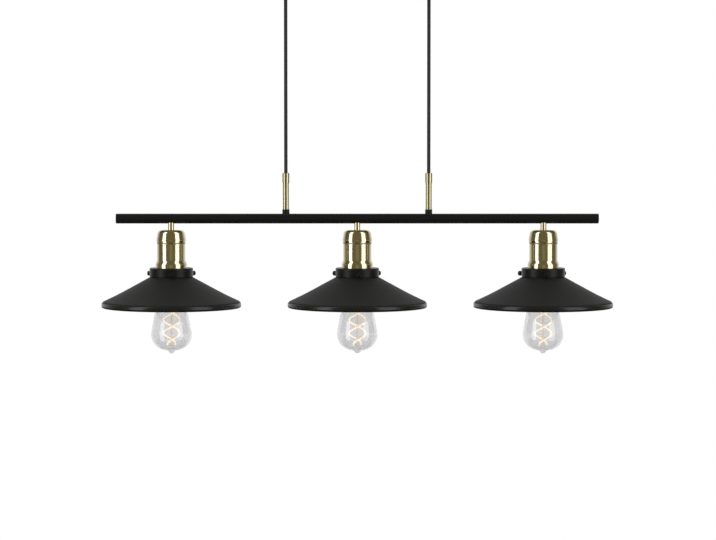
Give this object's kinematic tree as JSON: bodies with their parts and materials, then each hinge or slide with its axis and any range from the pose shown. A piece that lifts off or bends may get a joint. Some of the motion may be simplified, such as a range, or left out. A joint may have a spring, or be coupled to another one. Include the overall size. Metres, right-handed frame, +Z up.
{
  "type": "linear pendant lamp",
  "caption": "Straight black bar hung on two textile cords, with brass-covered lampholders, shallow flared metal shades and pear-shaped filament bulbs.",
  "frame": {"origin": "centre of the canopy's ceiling face", "axes": "+X along the bar, to the right as pictured; +Z up into the ceiling; the pictured front faces -Y"},
  "size_m": [0.825, 0.225, 0.624],
  "materials": {
    "black_satin": "satin powder coat",
    "charcoal_matte": "matte powder coat",
    "aged_brass": "brushed, lightly aged",
    "brass_plain": "plain machined",
    "zinc_steel": "zinc plated",
    "white_plastic": "moulded",
    "dark_textile": "woven textile over insulated cores",
    "porcelain": "glazed",
    "nickelled_cap": "bright",
    "clear_glass": "clear with a faint grey tint",
    "filament_cream": "coated flexible strip"
  },
  "bodies": {
    "ceiling": {"canopy_cover": "black_satin", "ceiling_bracket": "zinc_steel", "canopy_screws": "black_satin", "terminal_block": "white_plastic", "gland_nuts": "brass_plain", "canopy_leads": "dark_textile", "gland_left": "black_satin", "gland_right": "black_satin"},
    "pendant": {"cord_left": "dark_textile", "cord_right": "dark_textile", "grip_collar_left": "aged_brass", "grip_collar_right": "aged_brass", "grip_tube_left": "aged_brass", "grip_tube_right": "aged_brass", "grip_rings": "black_satin", "bar_tube": "black_satin", "bar_caps": "black_satin", "saddle_nuts": "brass_plain", "bar_leads": "dark_textile", "lamp_nipples": "aged_brass", "centre_contacts": "brass_plain", "holder_cap_left": "aged_brass", "holder_body_left": "aged_brass", "insert_left": "porcelain", "screw_shell_left": "brass_plain", "gallery_left": "black_satin", "shade_left": "charcoal_matte", "holder_cap_middle": "aged_brass", "holder_body_middle": "aged_brass", "insert_middle": "porcelain", "screw_shell_middle": "brass_plain", "gallery_middle": "black_satin", "shade_middle": "charcoal_matte", "holder_cap_right": "aged_brass", "holder_body_right": "aged_brass", "insert_right": "porcelain", "screw_shell_right": "brass_plain", "gallery_right": "black_satin", "shade_right": "charcoal_matte"},
    "bulb_left": {"bulb_cap_left": "nickelled_cap", "bulb_glass_left": "clear_glass", "bulb_stem_left": "clear_glass", "bulb_filament_left": "filament_cream"},
    "screw_left_1": {"thumb_screw_left_1": "black_satin"},
    "screw_left_2": {"thumb_screw_left_2": "black_satin"},
    "screw_left_3": {"thumb_screw_left_3": "black_satin"},
    "bulb_middle": {"bulb_cap_middle": "nickelled_cap", "bulb_glass_middle": "clear_glass", "bulb_stem_middle": "clear_glass", "bulb_filament_middle": "filament_cream"},
    "screw_middle_1": {"thumb_screw_middle_1": "black_satin"},
    "screw_middle_2": {"thumb_screw_middle_2": "black_satin"},
    "screw_middle_3": {"thumb_screw_middle_3": "black_satin"},
    "bulb_right": {"bulb_cap_right": "nickelled_cap", "bulb_glass_right": "clear_glass", "bulb_stem_right": "clear_glass", "bulb_filament_right": "filament_cream"},
    "screw_right_1": {"thumb_screw_right_1": "black_satin"},
    "screw_right_2": {"thumb_screw_right_2": "black_satin"},
    "screw_right_3": {"thumb_screw_right_3": "black_satin"}
  },
  "joints": [
    {"name": "swing", "type": "hinge", "parent": "ceiling", "child": "pendant", "pos_m": [0, 0, -0.0429], "axis": [1, 0, 0], "range_deg": [-15, 15]},
    {"name": "bulb_out_left", "type": "slide", "parent": "pendant", "child": "bulb_left", "axis": [0, 0, -1], "range_m": [0, 0.1]},
    {"name": "bulb_out_middle", "type": "slide", "parent": "pendant", "child": "bulb_middle", "axis": [0, 0, -1], "range_m": [0, 0.1]},
    {"name": "bulb_out_right", "type": "slide", "parent": "pendant", "child": "bulb_right", "axis": [0, 0, -1], "range_m": [0, 0.1]},
    {"name": "screw_out_left_1", "type": "slide", "parent": "pendant", "child": "screw_left_1", "axis": [0.0471, -0.9989, 0], "range_m": [0, 0.004]},
    {"name": "screw_out_left_2", "type": "slide", "parent": "pendant", "child": "screw_left_2", "axis": [0.8415, 0.5402, 0], "range_m": [0, 0.004]},
    {"name": "screw_out_left_3", "type": "slide", "parent": "pendant", "child": "screw_left_3", "axis": [-0.8886, 0.4587, 0], "range_m": [0, 0.004]},
    {"name": "screw_out_middle_1", "type": "slide", "parent": "pendant", "child": "screw_middle_1", "axis": [0.0471, -0.9989, 0], "range_m": [0, 0.004]},
    {"name": "screw_out_middle_2", "type": "slide", "parent": "pendant", "child": "screw_middle_2", "axis": [0.8415, 0.5402, 0], "range_m": [0, 0.004]},
    {"name": "screw_out_middle_3", "type": "slide", "parent": "pendant", "child": "screw_middle_3", "axis": [-0.8886, 0.4587, 0], "range_m": [0, 0.004]},
    {"name": "screw_out_right_1", "type": "slide", "parent": "pendant", "child": "screw_right_1", "axis": [0.0471, -0.9989, 0], "range_m": [0, 0.004]},
    {"name": "screw_out_right_2", "type": "slide", "parent": "pendant", "child": "screw_right_2", "axis": [0.8415, 0.5402, 0], "range_m": [0, 0.004]},
    {"name": "screw_out_right_3", "type": "slide", "parent": "pendant", "child": "screw_right_3", "axis": [-0.8886, 0.4587, 0], "range_m": [0, 0.004]}
  ]
}
